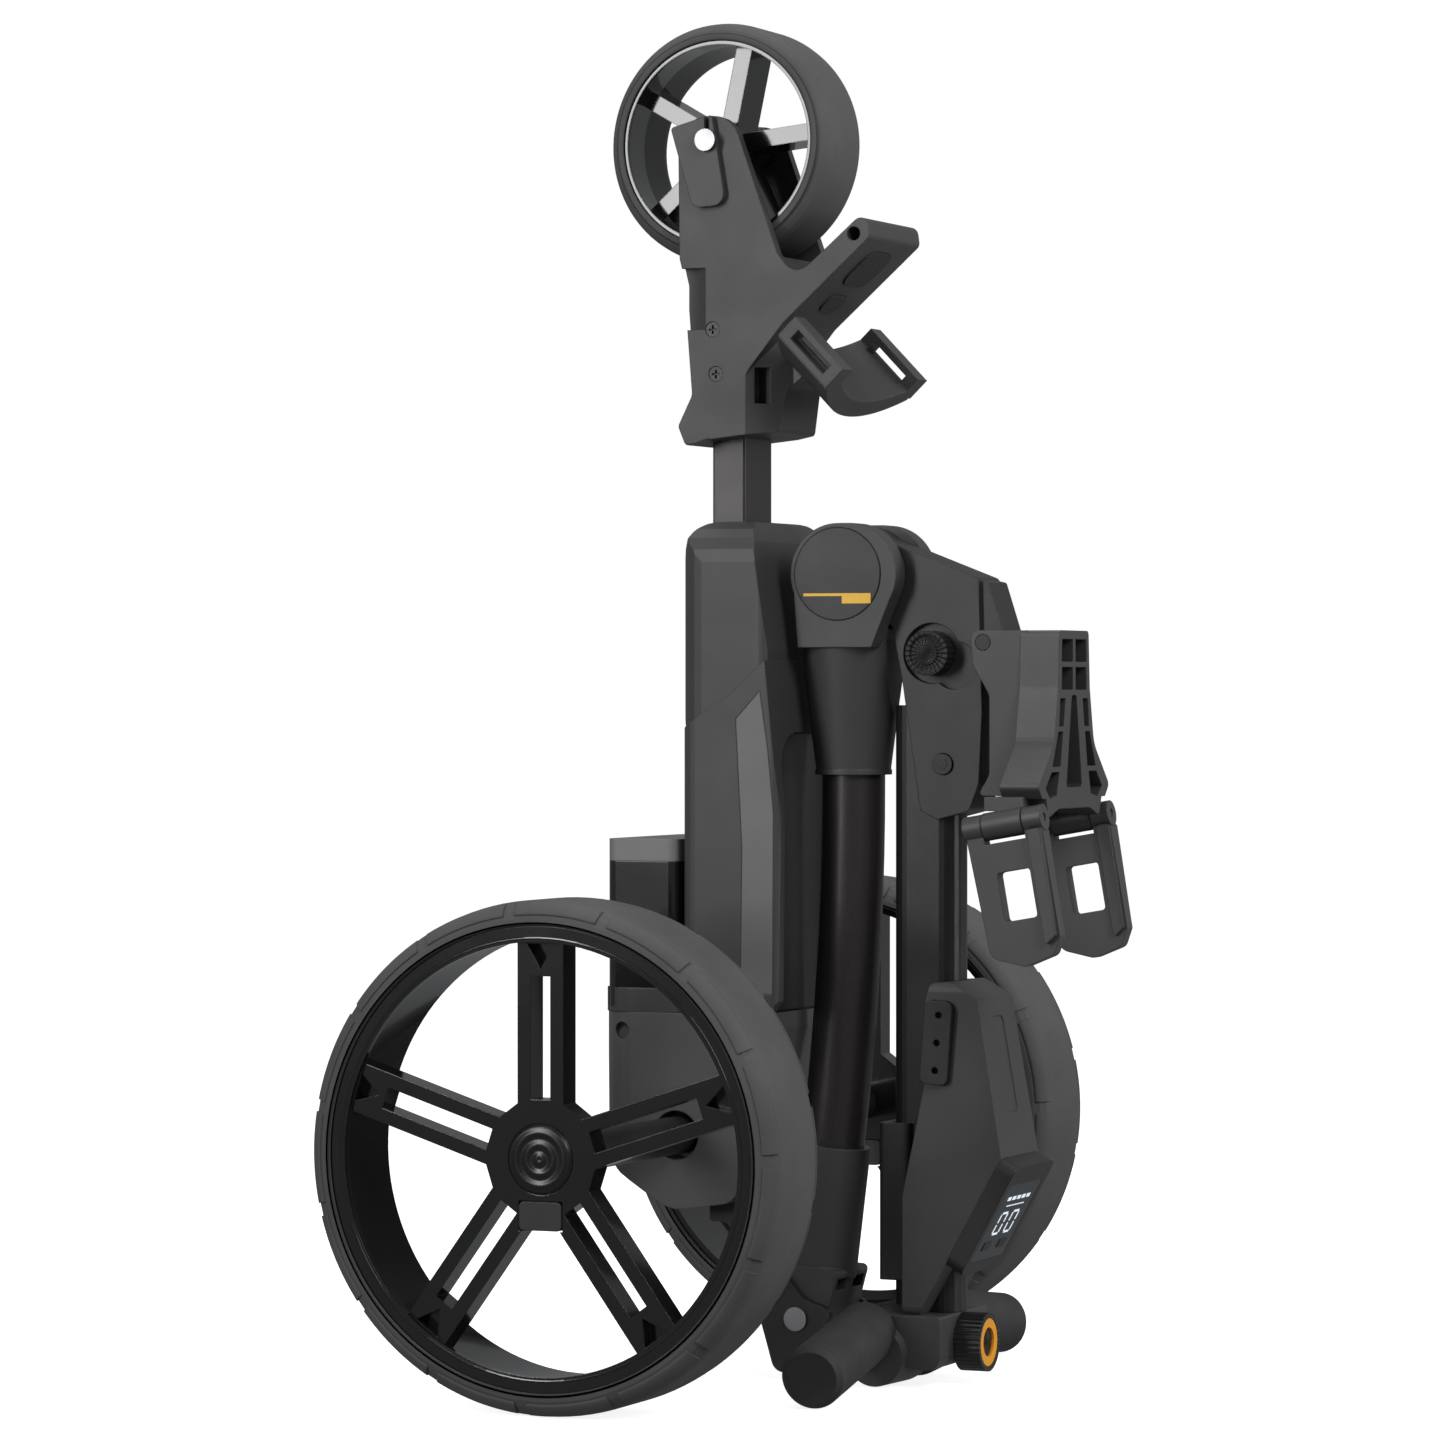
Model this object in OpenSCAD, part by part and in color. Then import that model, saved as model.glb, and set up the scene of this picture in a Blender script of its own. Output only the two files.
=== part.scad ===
// Electric golf trolley, folded and standing on its drive wheels and handle grips.
// X runs along the wheel axle, the battery side is +Y, the handle side is -Y, Z is up, ground at z = 0.

/* [Overall] */
// Diameter of each drive wheel over its tyre
wheel_d = 286; // [250:1:345]
// Width over the outer faces of the two drive wheels
track_w = 489; // [430:1:590]
// Height of the front wheel's axle above the ground, folded
front_axle_z = 722; // [700:1:870]
// Distance from the drive axle to the foremost face of the bag arms
front_reach = 239; // [228:1:260]

/* [Drive wheels] */
// Width of each drive wheel's tyre
tyre_w = 68; // [56:1:82]
// Thickness of the tyre over its rim
tyre_t = 14; // [11:0.5:18]
// Thickness of the rim's barrel wall
rim_wall = 4; // [3:0.5:6]
// Width of one rib of a twin spoke
spoke_rib = 8; // [6:0.5:10]
// Gap between the two ribs of a twin spoke
spoke_gap = 12; // [8:0.5:15]
// Number of twin spokes
spokes = 5; // [4:1:7]
// Radius of the wheel's hub
hub_r = 31; // [27:0.5:36]
// Radius of the round hub cap
cap_r = 19.5; // [15:0.5:22]
// Radius of the drive axle shaft
axle_r = 6; // [5:0.5:7]

/* [Front wheel] */
// Diameter of the front wheel over its tyre
front_wheel_d = 141; // [120:1:165]
// Width of the front wheel's tyre
front_wheel_w = 57.7; // [46:0.1:66]
// Radius of the front axle bolt
front_axle_r = 4; // [3:0.5:5]

/* [Lower frame] */
// Width of the square frame tube
tube_w = 40; // [32:1:48]
// Depth of the square frame tube
tube_d = 21; // [17:1:25]
// Length of frame tube seen between housing and front bracket
tube_seen = 44; // [30:1:90]
// Wall of the square frame tube
tube_wall = 2; // [1.5:0.5:3]
// Width of the front bracket
bracket_w = 78; // [70:1:94]
// Width of the frame housing
housing_w = 120; // [110:1:144]
// Wall of the moulded housings
wall = 3; // [2:0.5:4]

/* [Battery] */
// Width of the battery
battery_w = 110; // [90:1:132]
// Depth of the battery
battery_l = 46; // [38:1:55]
// Height of the battery
battery_h = 98; // [80:1:118]

/* [Upper frame] */
// Diameter of the round upper frame tube
upper_d = 37; // [31:0.5:44]
// Angle that the upper frame tube bends through
upper_bend = 7; // [5:0.5:9]
// Drop from the front axle to the handle's fold axis
head_drop = 253; // [245:1:270]
// Radius of the fold joint's cheeks
head_r = 29.5; // [27:0.5:34]
// Width of the fold joint
head_w = 64; // [58:1:76]
// Radius of the fold and pivot pins
pin_r = 5; // [4:0.5:6]
// Height of the frame pivot above the ground, folded
pivot_z = 36; // [32:1:44]

/* [Handle] */
// Width of the handle stem across the trolley
stem_w = 28; // [24:1:32]
// Depth of the handle stem
stem_d = 40; // [34:1:46]
// Width of the control housing
console_w = 62; // [54:1:74]
// Diameter of the hand grips
grip_d = 36; // [30:1:43]
// Distance from the middle to each grip's end
grip_reach = 150; // [130:1:165]
// Diameter of the speed knob
knob_d = 34; // [29:1:36]

/* [Bag bracket] */
// Distance from the middle to each bag arm's hinge
arm_x = 56; // [50:1:67]
// Height of each bag arm
arm_h = 82; // [70:1:98]
// Width of each bag arm along its hinge
arm_w = 48; // [44:1:56]
// Tilt of the bag arms' hinges
arm_tilt = 10; // [6:1:12]

/* [Fits] */
// Radial clearance of a shaft that turns in a bore
run_fit = 0.05; // [0.03:0.01:0.1]
// Radial clearance of a pin, screw or tube that is fixed in its seat
snug = 0.03; // [0.02:0.01:0.06]
// Gap between pieces that pass each other
gap = 0.5; // [0.3:0.1:1]

/* [Hidden] */
$fn = 64;
wheel_r = wheel_d / 2;
axle_z = wheel_r;
axle_y = (front_reach - wheel_r) / 2;
wheel_out = track_w / 2;
wheel_in = wheel_out - tyre_w;
rim_r = wheel_r - tyre_t;
// layers of the folded frame along Y
frame_y = axle_y - 17;
front_axle_y = axle_y - 13;
upper_y = axle_y - 88;
fold_y = upper_y - 3;
stem_y = upper_y - upper_d / 2 - 10.5 - stem_d / 2;
fold_z = front_axle_z - head_drop;
pivot_y = axle_y - 64;
// front bracket, below the front axle
bracket_h = 178;
bracket_z = front_axle_z - bracket_h;
socket_h = 75;
// frame housing
cap_top = bracket_z - tube_seen;
tray_z = axle_z + 71;
shell_back = frame_y + tube_d / 2 + 0.5;
battery_y = shell_back + wall + 3;
floor_y = axle_y - 51;

// ---- shared shapes ----
function unit(v) = v / norm(v);
// points of one corner p1 rounded to radius r between neighbours p0 and p2
function corner(p0, p1, p2, r, n) =
    let (a = unit(p0 - p1), b = unit(p2 - p1), half = acos(a * b) / 2)
    let (c = p1 + unit(a + b) * r / sin(half), s = p1 + a * r / tan(half), e = p1 + b * r / tan(half))
    let (a0 = atan2(s.y - c.y, s.x - c.x), a1 = atan2(e.y - c.y, e.x - c.x))
    let (turn = (a1 - a0 + 540) % 360 - 180)
    [for (i = [0:n]) c + r * [cos(a0 + turn * i / n), sin(a0 + turn * i / n)]];
// closed outline of [x, y, radius] points with its corners rounded
function rounded(p, n = 5) = [for (i = [0:len(p) - 1])
    let (q = p[(i + len(p) - 1) % len(p)], s = p[(i + 1) % len(p)])
    each p[i].z <= 0 ? [[p[i].x, p[i].y]]
        : corner([q.x, q.y], [p[i].x, p[i].y], [s.x, s.y], p[i].z, n)];
// rectangle from a to b with rounded corners
function rbox(a, b, r) = rounded([[a.x, a.y, r], [b.x, a.y, r], [b.x, b.y, r], [a.x, b.y, r]]);

// a Y-Z outline carried along X from x0 to x1
module along_x(x0, x1) translate([x0, 0, 0]) rotate([90, 0, 90]) linear_extrude(x1 - x0) children();
// an X-Z outline carried along Y from y0 to y1
module along_y(y0, y1) translate([0, y1, 0]) rotate([90, 0, 0]) linear_extrude(y1 - y0) children();
// a round bar along X about the point p = [y, z]
module bar_x(p, r, x0, x1) translate([x0, p.x, p.y]) rotate([0, 90, 0]) cylinder(r = r, h = x1 - x0);
// an X-Y outline carried along Z from z0 to z1
module along_z(z0, z1) translate([0, 0, z0]) linear_extrude(z1 - z0) children();
// both sides of the trolley
module both() for (s = [0, 1]) mirror([s, 0, 0]) children();
// one side: -1 is the left side at -X, 1 the right side
module side(s) mirror([s > 0 ? 0 : 1, 0, 0]) children();
// a solid of revolution about the drive axle, its outline given as [radius, x]
module about_axle() translate([0, axle_y, axle_z]) rotate([0, 90, 0]) rotate_extrude($fn = 96) children();

// ---- drive wheels ----
hub_in = wheel_out - 52;
spoke_out = wheel_out - 5;
spoke_t = 16;
lip_w = 9;
barrel_r = rim_r - rim_wall;
bush_r = axle_r + 5;
release_w = 26;
release_z = -cap_r - 20;

module wheel_tyre(s) color("#4a4a49") side(s) about_axle() {
    polygon(rounded([[rim_r, wheel_in, 2], [wheel_r, wheel_in, 14], [wheel_r, wheel_out, 14],
        [rim_r, wheel_out, 2]]));
}

module spoke() {
    outer = barrel_r + 1;
    inner = hub_r - 6;
    width = 2 * spoke_rib + spoke_gap;
    difference() {
        translate([spoke_out - spoke_t, -width / 2, inner]) cube([spoke_t, width, outer - inner]);
        translate([spoke_out - spoke_t - 1, -spoke_gap / 2, hub_r + 2])
            cube([spoke_t + 2, spoke_gap, barrel_r - 26 - hub_r]);
        translate([spoke_out - 8, 0, 0]) along_x(0, 9)
            polygon([[-spoke_gap / 2 - 2, barrel_r - 6], [spoke_gap / 2 + 2, barrel_r - 6], [0, barrel_r - 20]]);
    }
}

module wheel_rim(s) color("#111111") side(s) {
    about_axle() polygon([[barrel_r, wheel_in + 3], [rim_r, wheel_in + 3], [rim_r, wheel_out - 2],
        [rim_r - lip_w, wheel_out - 2], [rim_r - lip_w, wheel_out - 6], [barrel_r, wheel_out - 10]]);
    translate([0, axle_y, axle_z]) {
        difference() {
            union() {
                translate([spoke_out - spoke_t, 0, 0]) rotate([90, 0, 90])
                    linear_extrude(spoke_t) polygon([for (i = [0:spokes - 1], k = [-1, 1])
                        (hub_r + 3) * [sin(360 / spokes * i + 22 * k), cos(360 / spokes * i + 22 * k)]]);
                for (i = [0:spokes - 1]) rotate([360 / spokes * i, 0, 0]) spoke();
            }
            rotate([0, 90, 0]) cylinder(r = bush_r, h = wheel_out);
            translate([spoke_out - 5, 0, 0]) rotate([0, 90, 0]) cylinder(r = cap_r + 0.3, h = 20);
            translate([spoke_out - spoke_t - 1, -release_w / 2 - 0.4, release_z - 0.4])
                cube([spoke_t + 2, release_w + 0.8, 16.8]);
        }
    }
}

module wheel_hub(s) color("#2b2b2b") side(s) translate([0, axle_y, axle_z]) rotate([0, 90, 0])
    difference() {
        translate([0, 0, hub_in]) cylinder(r = bush_r, h = spoke_out - 5 - hub_in);
        cylinder(r = axle_r + run_fit, h = wheel_out);
    }

module hub_cap(s) color("#141414") side(s) translate([spoke_out - 5, axle_y, axle_z]) rotate([0, 90, 0])
    union() {
        cylinder(r = cap_r, h = 5);
        translate([0, 0, 5]) cylinder(r1 = cap_r, r2 = cap_r - 1.5, h = 1.5);
    }

module wheel_release(s) color("#191919") side(s) translate([spoke_out - spoke_t + 2, axle_y, axle_z])
    along_x(0, spoke_t - 1.5) polygon(rbox([-release_w / 2, release_z], [release_w / 2, release_z + 16], 3));

module wheel_rim_left() wheel_rim(-1);
module wheel_rim_right() wheel_rim(1);
module wheel_tyre_left() wheel_tyre(-1);
module wheel_tyre_right() wheel_tyre(1);
module wheel_hub_left() wheel_hub(-1);
module wheel_hub_right() wheel_hub(1);
module hub_cap_left() hub_cap(-1);
module hub_cap_right() hub_cap(1);
module wheel_release_left() wheel_release(-1);
module wheel_release_right() wheel_release(1);

// ---- drive unit ----
gear_m = 1.25;
gear_n = 52;
pinion_n = 11;
gear_t = 12;
gear_a = 60;
gear_c = gear_m * (gear_n + pinion_n) / 2 + 0.4;
motor_y = axle_y + gear_c * cos(gear_a);
motor_z = axle_z + gear_c * sin(gear_a);
gear_tip = gear_m * (gear_n / 2 + 0.9);
case_r = gear_tip + 6;
motor_r = 24.5;
motor_case_r = motor_r + 4;
case_w = 76;
case_wall = 4;
shaft_r = 3;
motor_end = housing_w / 2 - 7;

// spur gear outline with straight-sided teeth; one tooth points along +x
module gear_outline(n) polygon([for (i = [0:n - 1], k = [[-0.30, -1.25], [-0.13, 0.9], [0.13, 0.9], [0.30, -1.25]])
    gear_m * (n / 2 + k.y) * [cos(360 / n * (i + k.x)), sin(360 / n * (i + k.x))]]);

module drive_axle() color("#b9bcc0") bar_x([axle_y, axle_z], axle_r, -spoke_out + 7, spoke_out - 7);

module final_gear() color("#8d8f92") difference() {
    along_x(-gear_t / 2, gear_t / 2) translate([axle_y, axle_z]) gear_outline(gear_n);
    bar_x([axle_y, axle_z], axle_r, -gear_t, gear_t);
}

module motor_pinion() color("#9a9c9f") union() {
    along_x(-gear_t / 2, gear_t / 2) translate([motor_y, motor_z])
        rotate(gear_a + 180 + gear_mesh) gear_outline(pinion_n);
    bar_x([motor_y, motor_z], shaft_r, -gear_t / 2 - 8, gear_t / 2 + 14);
}
// turn that puts a pinion gap opposite a gear tooth
gear_mesh = (gear_a * gear_n / 360 - floor(gear_a * gear_n / 360) - 0.5) * 360 / pinion_n;

module case_outline(grow) {
    translate([axle_y, axle_z]) circle(r = case_r + grow);
    translate([motor_y, motor_z]) circle(r = motor_case_r + grow);
}

module gearbox_half() difference() {
    along_x(0, case_w / 2) case_outline(0);
    along_x(-1, gear_t / 2 + 1.5) {
        translate([axle_y, axle_z]) circle(r = gear_tip + 2);
        translate([motor_y, motor_z]) circle(r = gear_m * (pinion_n / 2 + 0.9) + 2);
    }
    bar_x([axle_y, axle_z], axle_r + 0.5, -1, case_w);
    bar_x([axle_y, axle_z], axle_r + 6 + snug, case_w / 2 - 8, case_w);
}

module gearbox_left() color("#2a2a2a") mirror([1, 0, 0]) difference() {
    gearbox_half();
    bar_x([motor_y, motor_z], shaft_r + run_fit, -1, gear_t / 2 + 9);
}
module gearbox_right() color("#2e2e2e") difference() {
    gearbox_half();
    bar_x([motor_y, motor_z], motor_r + snug, gear_t / 2 + 5, case_w);
    bar_x([motor_y, motor_z], shaft_r + 0.5, -1, case_w);
}

module motor_can() color("#3a3a3a") difference() {
    bar_x([motor_y, motor_z], motor_r, gear_t / 2 + 5, motor_end);
    bar_x([motor_y, motor_z], shaft_r + run_fit, gear_t / 2, gear_t / 2 + 15);
}

module axle_bearings() color("#c4c6c8") both() difference() {
    bar_x([axle_y, axle_z], axle_r + 6, case_w / 2 - 8, case_w / 2);
    bar_x([axle_y, axle_z], axle_r + run_fit, case_w / 2 - 9, case_w);
}

module axle_tubes() color("#222222") both() difference() {
    union() {
        bar_x([axle_y, axle_z], axle_r + 8, case_w / 2, case_w / 2 + 5);
        bar_x([axle_y, axle_z], axle_r + 5, case_w / 2 + 5, hub_in - 3);
    }
    bar_x([axle_y, axle_z], axle_r + run_fit, 0, hub_in);
}

// ---- front wheel and bracket ----
front_r = front_wheel_d / 2;
front_rim_r = front_r - 8;
front_half = front_wheel_w / 2;
fork_in = front_half + 3.2;
fork_out = bracket_w / 2;
front_hub_r = 11;

module about_front() translate([0, front_axle_y, front_axle_z]) rotate([0, 90, 0])
    rotate_extrude($fn = 96) children();

module front_tyre() color("#4a4a49") about_front() polygon(rounded([[front_rim_r, -front_half, 1.5],
    [front_r, -front_half, 11], [front_r, front_half, 11], [front_rim_r, front_half, 1.5]]));

module front_rim() color("#111111") {
    about_front() for (m = [0, 1]) mirror([0, m]) polygon([[front_rim_r - 3, 0], [front_rim_r, 0],
        [front_rim_r, front_half - 1], [front_rim_r - 5, front_half - 1], [front_rim_r - 5, front_half - 4]]);
    difference() {
        union() {
            bar_x([front_axle_y, front_axle_z], front_hub_r, -fork_in + gap, fork_in - gap);
            for (i = [0:4]) translate([0, front_axle_y, front_axle_z]) rotate([72 * i + 12, 0, 0])
                translate([-15, -5, 8]) cube([30, 10, front_rim_r - 10]);
        }
        bar_x([front_axle_y, front_axle_z], front_axle_r + run_fit, -fork_in, fork_in);
    }
}

module front_axle() color("#a9abae") {
    bar_x([front_axle_y, front_axle_z], front_axle_r, -fork_out, fork_out);
    both() bar_x([front_axle_y, front_axle_z], 6.5, fork_out + 4, fork_out + 7);
    both() bar_x([front_axle_y, front_axle_z], front_axle_r, fork_out, fork_out + 4);
}

// outline of the bracket's side: fork arm, rest beam and tube socket, about the front axle
beam_foot = [-47, -107];
beam_tip = [-101, -59];
beam_a = atan2(beam_tip.y - beam_foot.y, beam_foot.x - beam_tip.x);
bracket_side = rounded([[20, 14, 18], [19, -68, 4], [15, -84, 8], [15, -98, 8], [11, -148, 8],
    [20, -166, 4], [15, -bracket_h, 3], [-20, -bracket_h + 11, 3], [-23, -136, 14],
    [beam_foot.x, beam_foot.y, 4], [beam_tip.x, beam_tip.y, 4], [beam_tip.x + 2, beam_tip.y + 16, 5],
    [-64, -73, 2], [-54, -80, 9], [-43, -67, 5], [-14, 15, 18]]);
// outline of the nose below the beam
nose_side = rounded([[0, -124, 0], [-44, -112, 3], [-54, -136, 6], [-44, -144, 6], [-39, -170, 3],
    [0, -bracket_h + 4, 0]]);
nose_w = 22;
rest_hole = [-91, -57];
screw_spots = [[-2, -110], [-4, -136]];

module front_bracket() color("#424242") translate([0, front_axle_y, front_axle_z]) difference() {
    union() {
        intersection() {
            along_x(-fork_out, fork_out) polygon(bracket_side);
            along_y(-150, 40) polygon(rounded([[-fork_out, 40, 0], [-fork_out, -bracket_h - 1, 3],
                [fork_out, -bracket_h - 1, 3], [fork_out, 40, 0]]));
        }
        intersection() {
            along_x(-fork_out, fork_out) polygon(nose_side);
            along_z(-200, 0) polygon([[-fork_out, 0], [-fork_out, -23], [-nose_w, -46], [-nose_w, -60],
                [nose_w, -60], [nose_w, -46], [fork_out, -23], [fork_out, 0]]);
        }
    }
    // space for the front wheel between the fork arms
    bar_x([0, 0], front_r + 6, -fork_in, fork_in);
    translate([-fork_in, -60, -front_r + 2]) cube([2 * fork_in, 120, 120]);
    // axle bore
    bar_x([0, 0], front_axle_r + snug, -60, 60);
    // socket of the square tube
    translate([-tube_w / 2 - snug, frame_y - front_axle_y - tube_d / 2 - snug, -bracket_h - 5])
        cube([tube_w + 2 * snug, tube_d + 2 * snug, socket_h + 5.2]);
    // cross hole in the rest beam
    bar_x(rest_hole, 4, -60, 60);
    // screw recesses and holes
    for (p = screw_spots) both() bar_x(p, 4.5, fork_out - 3, fork_out + 1);
    for (p = screw_spots) both() bar_x(p, 2 + snug, tube_w / 2 - 1, fork_out);
    // pockets in the chamfers of the nose
    both() translate([32, -30, -143]) rotate([0, 0, 38]) cube([9, 22, 21], center = true);
    // finger scoops in the sides
    both() translate([fork_out + 22, 18, -92]) cylinder(r = 27, h = 36, center = true);
    // hollow back between the fork arms
    translate([-fork_in, 4, -110]) cube([2 * fork_in, 40, 60]);
    // recess for the pads on the beam
    rest_frame() along_z(-1.5, 2) pad_outline(0.3);
    // seat of the lower cradle
    translate([0, -front_axle_y, -front_axle_z]) cradle_frame() translate([0, 0, cradle_r])
        rotate([90, 0, 0]) cylinder(r = cradle_r + cradle_t + snug, h = cradle_band + 0.4, center = true, $fn = 96);
}

// frame on the beam's lower face: +z out of the face, +y towards the beam's free end
module rest_frame() translate([0, beam_foot.x, beam_foot.y]) rotate([180 - beam_a, 0, 0]) children();
module pad_outline(grow) {
    polygon(rbox([-18 - grow, 35 - grow], [18 + grow, 62 + grow], 9));
    polygon(rbox([-12 - grow, 13 - grow], [12 + grow, 26 + grow], 5));
}
module bag_rest_pads() color("#2c2c2c") translate([0, front_axle_y, front_axle_z])
    rest_frame() along_z(-1.5, 1) pad_outline(0);

module bracket_screws() color("#1b1b1b") translate([0, front_axle_y, front_axle_z]) both()
    for (p = screw_spots) difference() {
        union() {
            bar_x(p, 4.4, fork_out - 3, fork_out - 0.5);
            bar_x(p, 2, tube_w / 2 - tube_wall - 2, fork_out - 3);
        }
        translate([fork_out - 1, p.x, p.y]) cube([2, 5, 1], center = true);
        translate([fork_out - 1, p.x, p.y]) cube([2, 1, 5], center = true);
    }

// slotted plates on the outside of the fork ends
module fork_covers() color("#454545") translate([0, front_axle_y, front_axle_z]) both() difference() {
    along_x(fork_out, fork_out + 4) polygon(rounded([[23, 8, 2], [9, -39, 6], [-12, -38, 7], [-3, 15, 2]]));
    bar_x([0, 0], front_axle_r + snug, 0, 60);
    translate([0, -1.5, 0]) cube([60, 3, 30]);
}

// ---- lower bag cradle ----
cradle_r = 106;
cradle_half = 62;
cradle_band = 43;
cradle_t = 12;
cradle_a = asin(cradle_half / cradle_r);

// frame of the cradle: +y along the band's width towards the bracket, +z from the band towards the bag
module cradle_frame() translate([0, front_axle_y - 64.5, front_axle_z - 136.5]) rotate([46, 0, 0]) children();

module cradle_arc(r0, r1) difference() {
    circle(r = r1, $fn = 96);
    circle(r = r0, $fn = 96);
}
module lower_cradle() color("#424242") cradle_frame() {
    difference() {
        union() {
            translate([0, cradle_band / 2, cradle_r]) rotate([90, 0, 0]) linear_extrude(cradle_band)
                intersection() {
                    cradle_arc(cradle_r, cradle_r + cradle_t);
                    translate([-cradle_half, -cradle_r - cradle_t - 1]) square([2 * cradle_half, 40]);
                }
            both() translate([cradle_half - 12, -cradle_band / 2, cradle_r * (1 - cos(cradle_a)) - 13])
                cube([15, cradle_band, 15]);
        }
        // slots through the ends
        both() translate([cradle_half - 14, -cradle_band / 2 + 7, cradle_r * (1 - cos(cradle_a)) - 9])
            cube([28, cradle_band - 14, 7]);
    }
}

// ---- frame tube and housing ----
module frame_tube() color("#3a3636") difference() {
    along_z(tray_z, bracket_z + socket_h) translate([0, frame_y])
        polygon(rbox([-tube_w / 2, -tube_d / 2], [tube_w / 2, tube_d / 2], 1.5));
    along_z(tray_z - 1, bracket_z + socket_h + 1) translate([0, frame_y])
        square([tube_w - 2 * tube_wall, tube_d - 2 * tube_wall], center = true);
    translate([0, front_axle_y, front_axle_z]) for (p = screw_spots) bar_x(p, 2 + snug, -30, 30);
}

half_w = housing_w / 2;
cap_half = half_w - 3;
seam_back = cap_top - 121;
seam_mid = cap_top - 101;
seam_front = cap_top - 81;
ridge_y = floor_y - 15;
side_band_y = floor_y + 14;

module cap_outline(inset) polygon(rounded([
    [shell_back + wall + 2 - inset, seam_back - 5, 6], [shell_back + wall + 2 - inset, cap_top - 22, 1],
    [shell_back + wall - 6 - inset, cap_top - inset, 14], [floor_y + 8 + inset, cap_top - inset, 8],
    [floor_y + 3 + inset, cap_top - 12, 4], [floor_y - 6 + inset, seam_front + 6, 4],
    [floor_y - 6 + inset, seam_front - 4, 0]]));
// region above the seam between cap and shell
module above_seam(lift) polygon([[shell_back + 40, seam_back + lift], [shell_back + wall, seam_back + lift],
    [side_band_y + 2, seam_mid + lift], [floor_y - 6, seam_front + lift], [floor_y - 40, seam_front + lift],
    [floor_y - 40, cap_top + 50], [shell_back + 40, cap_top + 50]]);

module housing_cap() color("#464646") difference() {
    intersection() {
        along_x(-half_w, half_w) intersection() {
            cap_outline(0);
            above_seam(0);
        }
        along_y(floor_y - 60, shell_back + 60) polygon(rounded([[-cap_half, seam_back - 20, 0],
            [cap_half, seam_back - 20, 0], [cap_half, cap_top, 24], [-cap_half, cap_top, 24]]));
        along_z(seam_back - 20, cap_top + 1) polygon(rounded([[-cap_half, floor_y - 8, 7],
            [cap_half, floor_y - 8, 7], [cap_half, shell_back + wall + 3, 16],
            [-cap_half, shell_back + wall + 3, 16]]));
    }
    // hollow inside
    intersection() {
        along_x(-half_w, half_w) intersection() {
            cap_outline(wall + 2);
            translate([0, -wall]) above_seam(-30);
        }
        along_y(floor_y - 60, shell_back + 60) polygon(rounded([[-cap_half + wall, seam_back - 60, 0],
            [cap_half - wall, seam_back - 60, 0], [cap_half - wall, cap_top - wall - 2, 20],
            [-cap_half + wall, cap_top - wall - 2, 20]]));
        along_z(seam_back - 60, cap_top) polygon(rounded([[-cap_half + wall, floor_y - 8, 0],
            [cap_half - wall, floor_y - 8, 0], [cap_half - wall, shell_back + 0.5, 12],
            [-cap_half + wall, shell_back + 0.5, 12]]));
    }
    along_z(seam_back, cap_top + 10) translate([0, frame_y])
        square([tube_w + 0.2, tube_d + 0.2], center = true);
}

module shell_plan(inset) polygon(rounded([[-half_w + inset, ridge_y + inset, 5],
    [half_w - inset, ridge_y + inset, 5], [half_w - inset, shell_back + wall - inset, 10],
    [-half_w + inset, shell_back + wall - inset, 10]]));
module shell_side() polygon([[shell_back + wall, tray_z], [shell_back + wall, seam_back],
    [side_band_y + 2, seam_mid], [floor_y - 6, seam_front], [ridge_y + 4, seam_front - 50],
    [ridge_y, seam_front - 88], [ridge_y + 1, tray_z + 8], [ridge_y + 7, tray_z]]);
panel_half = half_w - 10;
panel_top = seam_front - 42;
trim_t = 2;

module housing_shell() color("#404040") difference() {
    intersection() {
        along_x(-half_w, half_w) shell_side();
        along_z(tray_z, cap_top) shell_plan(0);
    }
    // hollow inside
    translate([-half_w + wall + trim_t, floor_y + wall, tray_z - 1])
        cube([housing_w - 2 * (wall + trim_t), shell_back - floor_y - wall, cap_top]);
    // channel that the upper frame folds into
    along_y(ridge_y - 20, floor_y) polygon(rounded([[-panel_half, tray_z - 1, 0],
        [panel_half, tray_z - 1, 0], [panel_half, panel_top, 26], [-panel_half, panel_top, 26]]));
    // seats of the light trims
    both() translate([half_w - trim_t, 0, 0]) along_x(0, 10) trim_side(0.15);
}
module trim_side(grow) polygon([[side_band_y - 2 + grow, seam_mid - 14 + grow],
    [floor_y - 3 - grow, seam_front - 18 + grow], [ridge_y + 7 - grow, seam_front - 52],
    [ridge_y + 3.5 - grow, seam_front - 88], [ridge_y + 4 - grow, tray_z + 12 - grow],
    [side_band_y - 5 + grow, tray_z + 12 - grow], [side_band_y - 6 + grow, seam_front - 108]]);
module side_trims() color("#6e6e6e") both() along_x(half_w - trim_t, half_w) trim_side(0);

module front_panel() color("#383838") along_y(floor_y - 2.5, floor_y) polygon(rounded([
    [-panel_half + gap, tray_z + 1, 0], [panel_half - gap, tray_z + 1, 0],
    [panel_half - gap, panel_top - gap, 25.5], [-panel_half + gap, panel_top - gap, 25.5]]));

module controller() color("#2f4f3a") translate([-42, floor_y + wall, tray_z + 25]) cube([84, 15, 90]);

// ---- chassis and battery ----
chassis_h = 64;
chassis_back = battery_y + battery_l + 5;
chassis_half = half_w - 2;
chassis_front = floor_y + 8;

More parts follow.
